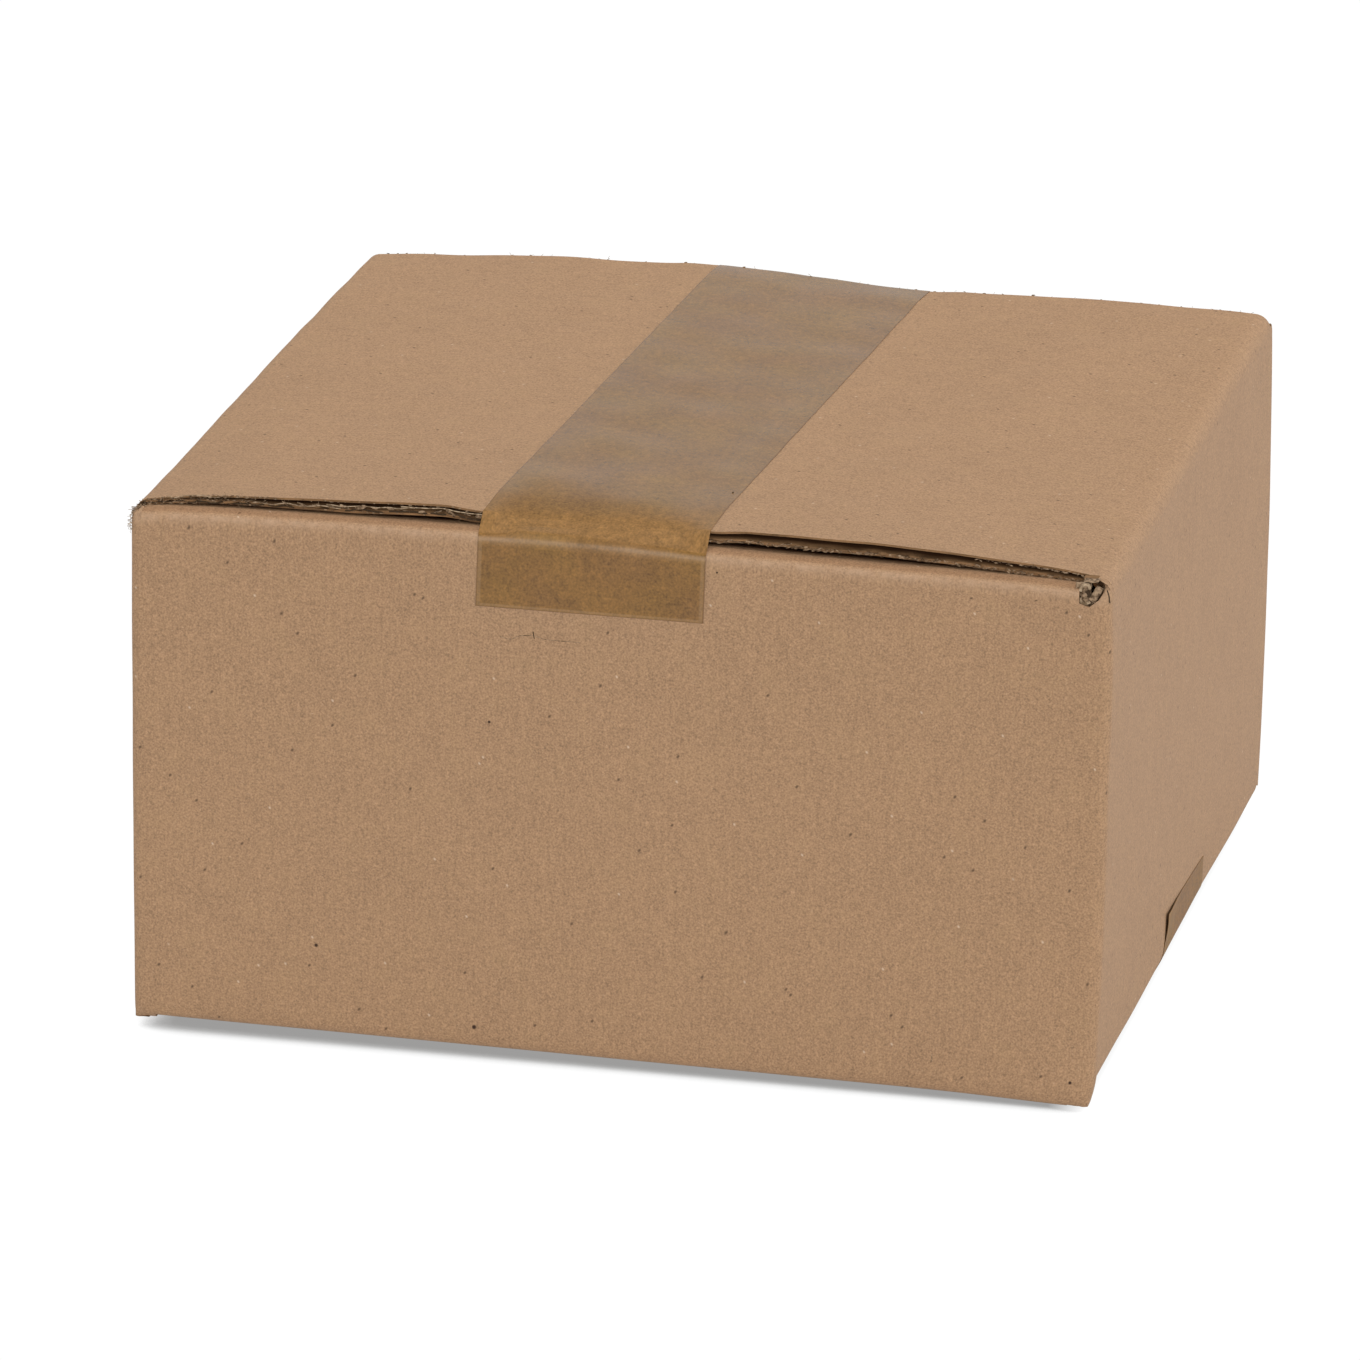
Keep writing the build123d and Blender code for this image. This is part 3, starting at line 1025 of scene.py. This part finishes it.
def brown_film(name, roughness, specular):
    """Brown packing tape on board: clouded by its glue, and paler along its edges, with painted light where
    it stands clear of the board, a painted shadow line at its edges and cut end, and a fold that is paler
    from stress-whitening and a painted highlight.
    """
    tape = Finish(name, "film")
    clouds = tape.noise(11, 3, 0.6)
    tint = tape.noise(16, 2, 0.5, seed=6)
    mottle = tape.noise(1.6, 4, 0.7, seed=3)
    grain = tape.noise(0.5, 1, 0.5, seed=8)
    brightness = 1 + 0.60 * clouds + 1.45 * mottle + 1.1 * grain
    colour = tape.mix(tape.fade(tint, -0.05, 0.2), tape_colour, tape_yellow)
    colour = tape.mix(tape.fade(tint, -0.05, -0.2), colour, tape_red)
    colour = tape.shade(colour, brightness)
    off = abs(tape.axis("X", tape.place))
    along = tape.axis("Y", tape.place)
    on_leg = tape.fade(along, (fold_along + 1.3) * MM, (fold_along - 1.7) * MM)
    from_side = tape_width / 2 * MM - off
    rim = tape.fade(from_side, 1.1 * MM, 0.8 * MM).most(tape.fade(along, 0.8 * MM, 0.6 * MM)) * on_leg
    colour = tape.mix(0.22 * rim, colour, tape_rim)
    # A painted shadow line along the film's sides and its cut end
    end = tape.fade(along, 0.22 * MM, 0.12 * MM).most(tape.fade(from_side, 0.3 * MM, 0.15 * MM))
    colour = tape.mix(0.5 * end, colour, tape_edge_shadow)
    # Painted light, lighter and more golden, in the rows where the film stands clear of the board
    colour = tape.mix(tape.field("bridge"), colour, tape.shade(tape_clear_painted_light, brightness))
    # Paler along the fold over the front crease: stress-whitening and a painted highlight
    fold_whitening_and_highlight = tape.fade(abs(along - fold_along * MM), 1.6 * MM, 0.1 * MM) * tape.fade(clouds, -0.3, 0.1)
    colour = tape.mix(0.28 * fold_whitening_and_highlight, colour, tape_fold_whitening_and_highlight)
    return tape.surface(colour, roughness, mottle, 0.02, Specular_IOR_Level=specular)


def torn_paper(name, deep, pale):
    """Loose fibres and torn scraps of liner, in tones between a deep one and a pale one."""
    scrap = Finish(name, "object")
    tone = scrap.fade(scrap.noise(0.8, 2, 0.5), -0.12, 0.10)
    return scrap.surface(scrap.mix(tone, deep, pale), 0.85, None, 0, Specular_IOR_Level=0.2)


def dark_line():
    """Cracks and bark in the liner paper, and dark lines of painted shade in the slot and along the left
    flap's cut edge.
    """
    line = Finish("dark_line", "object")
    return line.surface((0.05, 0.03, 0.015), 0.8, None, 0, Specular_IOR_Level=0.2)


paper, raw_edge, liner = kraft_paper(), cut_board(), inner_paper()
film_finish = brown_film("brown_film", 0.22, 0.4)
dull_film = brown_film("dull_film", 0.5, 0.16)
torn = torn_paper("torn_paper", (0.08, 0.047, 0.024), (0.36, 0.245, 0.15))
curled = torn_paper("curled_paper", (0.17, 0.11, 0.06), (0.46, 0.34, 0.22))
dark = dark_line()

carton = finish_sheet(carton_sheet, "carton_board", [paper, raw_edge, liner])
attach(carton, "root")
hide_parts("carton")


def edge_debris():
    """Geometry Nodes that scatter loose fibres and torn flakes along the lines of a mesh."""
    group = bpy.data.node_groups.new("edge_debris", "GeometryNodeTree")
    group.interface.new_socket("Lines", in_out="INPUT", socket_type="NodeSocketGeometry")
    kinds = {"Spacing": "Float", "Spread": "Float", "Fibre": "Float", "Flake": "Float", "Seed": "Int"}
    kinds["Finish"] = "Material"
    ports = {}
    for name, kind in kinds.items():
        socket = group.interface.new_socket(name, in_out="INPUT", socket_type="NodeSocket" + kind)
        ports[name] = socket.identifier
    group.interface.new_socket("Debris", in_out="OUTPUT", socket_type="NodeSocketGeometry")
    nodes = Nodes(group)
    given = {name: nodes.add("NodeGroupInput", output=name) for name in ["Lines"] + list(kinds)}

    def draw(low, high, salt, vector):
        """A random number or direction for each spot."""
        settings = {"data_type": "FLOAT_VECTOR" if vector else "FLOAT"}
        first = 0 if vector else 2
        inputs = {first: low, first + 1: high, "Seed": given["Seed"] + salt}
        return nodes.add("FunctionNodeRandomValue", settings, inputs, 0 if vector else 1)

    curve = nodes.add("GeometryNodeMeshToCurve", {}, {0: given["Lines"]})
    inputs = {"Curve": curve, "Length": given["Spacing"]}
    spots = nodes.add("GeometryNodeCurveToPoints", {"mode": "LENGTH"}, inputs)
    away = draw((-1, -1, -1), (1, 1, 1), 1, True)
    away = nodes.add("ShaderNodeVectorMath", {"operation": "SCALE"}, {0: away, "Scale": given["Spread"]})
    spots = nodes.add("GeometryNodeSetPosition", {}, {"Geometry": spots, "Offset": away})
    bow = {"Resolution": 5, "Start": (0, 0, 0), "Middle": (0.4, 0.1, 0.5), "End": (0.1, 0.3, 1)}
    bow = nodes.add("GeometryNodeCurveQuadraticBezier", {}, bow)
    # A fibre is one unit long and this thick, and a flake one unit in radius, until they are scaled
    ring = nodes.add("GeometryNodeCurvePrimitiveCircle", {}, {"Resolution": 4, "Radius": 0.045})
    fibre = nodes.add("GeometryNodeCurveToMesh", {}, {"Curve": bow, "Profile Curve": ring, "Fill Caps": True})
    flake = nodes.add("GeometryNodeMeshIcoSphere", {}, {"Radius": 1.0, "Subdivisions": 1})
    flake = nodes.add("GeometryNodeTransform", {}, {"Geometry": flake, "Scale": (1.0, 0.35, 0.12)})
    pieces = []
    for shape, length, turn, salt in ((fibre, "Fibre", pi, 2), (flake, "Flake", 0.5, 5)):
        inputs = {"Points": spots, "Instance": shape}
        inputs["Rotation"] = draw((-pi, -turn, -turn), (pi, turn, turn), salt, True)
        inputs["Scale"] = given[length] * draw(0.35, 1.0, salt + 1, False)
        pieces.append(nodes.add("GeometryNodeInstanceOnPoints", {}, inputs))
    both = nodes.add("GeometryNodeJoinGeometry", {}, {0: pieces})
    solid = nodes.add("GeometryNodeRealizeInstances", {}, {0: both})
    dressed = nodes.add("GeometryNodeSetMaterial", {}, {"Geometry": solid, "Material": given["Finish"]})
    nodes.add("NodeGroupOutput", {}, {0: dressed})
    return group, ports


debris_group, debris_ports = edge_debris()


def debris(name, lines, spacing, spread, fibre, flake, seed, finish=torn):
    """Scatters fibres and flakes of the given sizes in millimetres along lines, as one plain mesh."""
    points, edges = [], []
    for line in lines:
        start = len(points)
        points.extend(line)
        edges.extend((start + i, start + i + 1) for i in range(len(line) - 1))
    mesh = new_mesh(name, np.array(points), [], edges)
    piece = in_scene(name, mesh)
    modifier = piece.modifiers.new("debris", "NODES")
    modifier.node_group = debris_group
    given = {"Spacing": spacing * MM, "Spread": spread * MM, "Fibre": fibre * MM, "Flake": flake * MM}
    given.update({"Seed": seed, "Finish": finish})
    for key, value in given.items():
        modifier[debris_ports[key]] = value
    bpy.context.view_layer.update()
    made = piece.evaluated_get(bpy.context.evaluated_depsgraph_get())
    solid = bpy.data.meshes.new_from_object(made)
    piece.modifiers.clear()
    piece.data = solid
    solid.name = name
    bpy.data.meshes.remove(mesh)
    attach(piece, "root")


def edge_line(chain, share):
    """A line along a cut edge, at a share of the board's thickness from its outer face."""
    outer, inner = np.array(carton_sheet.outer)[chain], np.array(carton_sheet.inner)[chain]
    return bend(outer + (inner - outer) * share)


left_edge = cut_edges[("left", True, 1)]
right_edge = cut_edges[("right", True, -1)]
far_left, far_right = cut_edges[("left", True, -1)], cut_edges[("right", True, 1)]
front_corner = np.array([(-102.7, -102.4, 109.8), (-103.1, -102.0, 111.6), (-102.7, -101.0, 113.6)])
left_rim, right_rim = corner_rims[1], corner_rims[2]
torn_end = 34  # the left flap's cut edge is torn to fibres up to this row from its crease
left_end = [edge_line(left_edge[:torn_end], share) for share in (0.1, 0.5, 0.9)]
slot_lines = [edge_line(right_rim[:8], 0.1), edge_line(right_rim[:6], 0.6)]
debris("left_flap_fuzz", [edge_line(left_edge, 0.15), edge_line(left_edge, 0.85)], 1.5, 0.2, 0.9, 0.6, 1)
debris("left_flap_tears", [edge_line(left_edge[torn_end:], 0.6)], 3.2, 0.35, 0.7, 1.5, 2)
debris("left_end_fuzz", left_end, 0.5, 0.25, 0.9, 0.6, 3)
debris("right_flap_tears", [edge_line(right_edge, 0.85), edge_line(right_edge, 0.95)], 0.9, 0.15, 0.6, 0.9, 4)
debris("right_end_tears", [edge_line(right_edge[8:34], 0.25)], 0.8, 0.3, 0.7, 0.9, 5)
debris("far_edge_fuzz", [edge_line(far_left, 0.05), edge_line(far_right, 0.05)], 2.2, 0.3, 0.9, 0.6, 6)
debris("front_left_fuzz", [edge_line(left_rim, 0.0), edge_line(left_rim, 0.3)], 0.13, 0.3, 1.1, 0.5, 7)
debris("corner_fuzz", [bend(front_corner)], 0.08, 0.3, 0.9, 0.3, 9, curled)
debris("slot_fuzz", slot_lines, 0.4, 0.2, 0.6, 0.4, 8)


def drawn_smooth(points, steps):
    """A smooth curve through a few points in a plane, with a number of steps for each of them."""
    points = np.array(points, float)
    run = np.arange(len(points))
    fine = np.linspace(0, len(points) - 1, steps * len(points))
    return np.stack([through(np.stack([run, points[:, k]], -1), fine) for k in (0, 1)], -1)


def curled_scrap(name, finish, line, front, deep, thick):
    """Torn liner curled up in the slot: a line seen from the front, given some thickness and depth."""
    line = drawn_smooth(line, 4)
    along = np.gradient(line, axis=0)
    normal = np.stack([-along[:, 1], along[:, 0]], -1) / np.linalg.norm(along, axis=1)[:, None]
    points = []
    for y in (front, front + deep):
        for half in (line + normal * thick / 2, line - normal * thick / 2):
            points.extend((x, y + 0.15 * sin(3 * x), z) for x, z in half)
    count = len(line)
    faces = []
    for i in range(count - 1):
        a, b, c, d = i, count + i, 2 * count + i, 3 * count + i
        faces += [(a, b, b + 1, a + 1), (c, c + 1, d + 1, d), (a, a + 1, c + 1, c), (b, d, d + 1, b + 1)]
    last = count - 1
    faces += [(0, 2 * count, 3 * count, count), (last, count + last, 3 * count + last, 2 * count + last)]
    piece = finish_mesh(new_mesh(name, np.array(points), faces), [finish])
    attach(piece, "root")


scraps = [
    ("slot_backing", torn, [(96.4, 111.8), (98.0, 111.9), (99.5, 112.0)], -102.1, 0.8, 4.6),
    ("slot_curl_1", curled, [(97.3, 112.6), (97.7, 113.8), (98.8, 114.1), (99.3, 113.2)], -102.7, 1.5, 0.6),
    ("slot_curl_2", curled, [(97.3, 111.2), (97.5, 110.4), (98.4, 110.0), (99.4, 110.5)], -102.7, 1.5, 0.55),
    ("slot_curl_3", torn, [(99.7, 110.6), (100.5, 112.0), (101.2, 113.4)], -102.5, 1.5, 1.5),
    ("slot_curl_4", torn, [(98.0, 114.8), (99.6, 114.7), (101.0, 114.9)], -102.4, 2.0, 0.3),
    # slot_shade is a dark sheet of painted shade deep in the slot
    ("slot_shade", dark, [(98.6, 112.6), (99.1, 111.9), (99.0, 111.3)], -102.3, 0.5, 0.7),
]
for scrap in scraps:
    curled_scrap(*scrap)


def on_front(line):
    """Points on the front panel, from places across and up it."""
    x, z = drawn_smooth(line, 6).T
    turn = np.clip(x - half_width + corner_radius, 0, 2.4)
    y = corner_radius - np.sqrt(corner_radius ** 2 - turn ** 2) - half_depth
    return bend(np.stack([x, y, z], -1))


def on_edge(chain, share, seed):
    """Points along a cut edge, at a wavering share of the board's thickness, just proud of it."""
    line = edge_line(chain, share)
    waver = 0.22 * ripple(seed, 5, line[:, 0])
    return line + np.stack([0 * waver, 0 * waver - 0.12, waver], -1)


long_fibre = [(-23.9, 93.3), (-21.6, 92.9), (-19.6, 93.8), (-16.6, 94.0), (-13.7, 93.4), (-6.9, 93.4)]
speck_height = tape_crown(18.46, -73.46)
speck_on_tape = np.array([(18.3, -73.5, speck_height), (18.6, -73.4, speck_height)])
marks = [
    ("fibre_1", torn, 0.08, on_front(long_fibre)),
    ("fibre_2", torn, 0.10, on_front([(68.8, 9.6), (68.9, 11.6)])),
    ("crack_1", dark, 0.10, on_front([(-16.9, 94.9), (-16.6, 93.4)])),
    ("crack_2", dark, 0.12, on_front([(102.2, 113.2), (102.5, 111.8), (102.6, 110.4)])),
    ("left_ridge_1", curled, 0.13, on_edge(left_edge[30:50], 0.62, 1)),
    ("left_ridge_2", curled, 0.12, on_edge(left_edge[46:66], 0.45, 2)),
    ("left_ridge_3", curled, 0.12, on_edge(left_edge[62:84], 0.35, 3)),
    ("left_lip", curled, 0.10, on_edge(left_edge[12:24], 0.03, 4)),
    # The two left_shade lines are painted shade along the lower part of the left flap's cut edge, over the
    # gap below it
    ("left_shade_1", dark, 0.16, on_edge(left_edge[16:40], 0.82, 5)),
    ("left_shade_2", dark, 0.18, on_edge(left_edge[50:88], 0.75, 6)),
    ("tape_speck", dark, 0.35, speck_on_tape),
]
for name, finish, radius, path in marks:
    data = bpy.data.curves.new(name, "CURVE")
    data.dimensions = "3D"
    data.bevel_depth = radius * MM
    data.bevel_resolution = 1
    data.use_fill_caps = True
    spline = data.splines.new("POLY")
    spline.points.add(len(path) - 1)
    for point, place in zip(spline.points, path * MM):
        point.co = (*place, 1)
    holder = in_scene(name, data)
    made = holder.evaluated_get(bpy.context.evaluated_depsgraph_get())
    mesh = bpy.data.meshes.new_from_object(made)
    bpy.data.objects.remove(holder)
    mesh.name = name
    mark = finish_mesh(mesh, [finish])
    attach(mark, "root")
    "tape" if name == "tape_speck" else "board"

bridge_start = leg_rows + bend_rows - 2
bridge_end = leg_rows + bend_rows + bridge_rows + 1
top_tape = film_piece("top_tape_film", top_tape_base(), film_finish, (bridge_start, bridge_end))
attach(top_tape, "root")
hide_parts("top_tape")

bottom_tape = film_piece("bottom_tape_film", bottom_tape_base(), dull_film, None)
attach(bottom_tape, "root")
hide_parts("bottom_tape")

# Camera at the photograph's angle: a long lens, a little above the parcel and to its right
azimuth, elevation, roll = radians(12.32), radians(17.56), radians(0.84)
camera_distance = 2188.0
aim_right, aim_up = -8.08, 48.97
frame_pixels = 1360
lens_pixels = 10012.0
sensor = 36.0

back = Vector((sin(azimuth) * cos(elevation), -cos(azimuth) * cos(elevation), sin(elevation)))
level = Vector((cos(azimuth), sin(azimuth), 0))
upright_view = back.cross(level)
right_view = cos(roll) * level + sin(roll) * upright_view
up_view = cos(roll) * upright_view - sin(roll) * level
stand = camera_distance * back + aim_right * level + aim_up * upright_view + Vector((0, 0, front_low))
camera_data = bpy.data.cameras.new("camera")
camera_data.sensor_width = sensor
camera_data.lens = lens_pixels / frame_pixels * sensor
camera_data.clip_start, camera_data.clip_end = 0.1, 50.0
camera = in_scene("camera", camera_data)
turn = Matrix((right_view, up_view, back)).transposed().to_4x4()
camera.matrix_world = Matrix.Translation(stand * MM) @ turn
bpy.context.scene.camera = camera

# Floor: pale and glowing white to the camera, with a painted shadow, grey where an occlusion test finds the
# parcel close, so that only the close shadow under the parcel shows
floor_side = 12000.0
shadow_reach = 14.0
shadow_grey = (0.34, 0.335, 0.33)
floor_corners = np.array([(-1, -1, 0), (1, -1, 0), (1, 1, 0), (-1, 1, 0)]) * floor_side / 2
floor_mesh = new_mesh("floor", floor_corners, [(0, 1, 2, 3)])
floor = in_scene("floor", floor_mesh)
white = Finish("white_floor", "object")
nearby = white.add("ShaderNodeAmbientOcclusion", {"samples": 16}, {"Distance": shadow_reach * MM}, "AO")
# The painted shadow is left out beside the right panel
beside = white.fade(white.axis("X", white.place), 93 * MM, 101 * MM)
open_share = white.fade(nearby, 0.22, 0.58).most(beside)
seen = white.mix(open_share, shadow_grey, (1.02, 1.02, 1.02))
seen = white.add("ShaderNodeEmission", {}, {"Color": seen})
# To every other ray the floor is half grey diffuse and half glow, and the glow lights the parcel from below
lit = white.add("ShaderNodeBsdfDiffuse", {}, {"Color": (0.9, 0.9, 0.9)})
glow = white.add("ShaderNodeEmission", {}, {"Color": (0.85, 0.85, 0.85)})
lit = white.add("ShaderNodeMixShader", {}, {0: 0.5, 1: lit, 2: glow})
direct = white.add("ShaderNodeLightPath", output="Is Camera Ray")
both = white.add("ShaderNodeMixShader", {}, {0: direct, 1: lit, 2: seen})
white.add("ShaderNodeOutputMaterial", {}, {"Surface": both})
floor_mesh.materials.append(white.material)

# Studio: white walls, brighter in front and to the right than behind, and a softbox overhead
back_wall_top, front_wall_top = 0.38, 0.56
dim_wall, bright_wall, ceiling_light = 0.6, 1.75, 0.28
world = bpy.data.worlds.new("studio")
bpy.context.scene.world = world
world.use_nodes = True
sky = Nodes(world.node_tree)
sky.tree.nodes.clear()
direction = sky.add("ShaderNodeTexCoord", output="Generated")
inputs = {0: direction, 1: (0.67, -0.74, 0)}
to_front = sky.add("ShaderNodeVectorMath", {"operation": "DOT_PRODUCT"}, inputs, 1)
wall_light = sky.fade(to_front, -0.8, 0.5, dim_wall, bright_wall)
wall_top = sky.fade(to_front, -0.5, 0.5, back_wall_top, front_wall_top)
rise = sky.axis("Z", direction)
strength = sky.fade(rise, wall_top, wall_top + 0.14, wall_light, ceiling_light)
background = sky.add("ShaderNodeBackground", {}, {"Color": (1, 1, 1), "Strength": strength})
sky.add("ShaderNodeOutputWorld", {}, {"Surface": background})

softbox = bpy.data.lights.new("softbox", "AREA")
softbox.shape = "RECTANGLE"
softbox.size, softbox.size_y = 1.4, 0.9
softbox.energy = 14.0
softbox.color = (0.97, 1.0, 1.06)
overhead = in_scene("softbox", softbox)
overhead.location = (0.0, 0.15, 1.4)
overhead.rotation_euler = (radians(6), 0, 0)
overhead.visible_glossy = False  # it lights the parcel but isn't mirrored in the film

bpy.context.scene.view_settings.view_transform = "Standard"
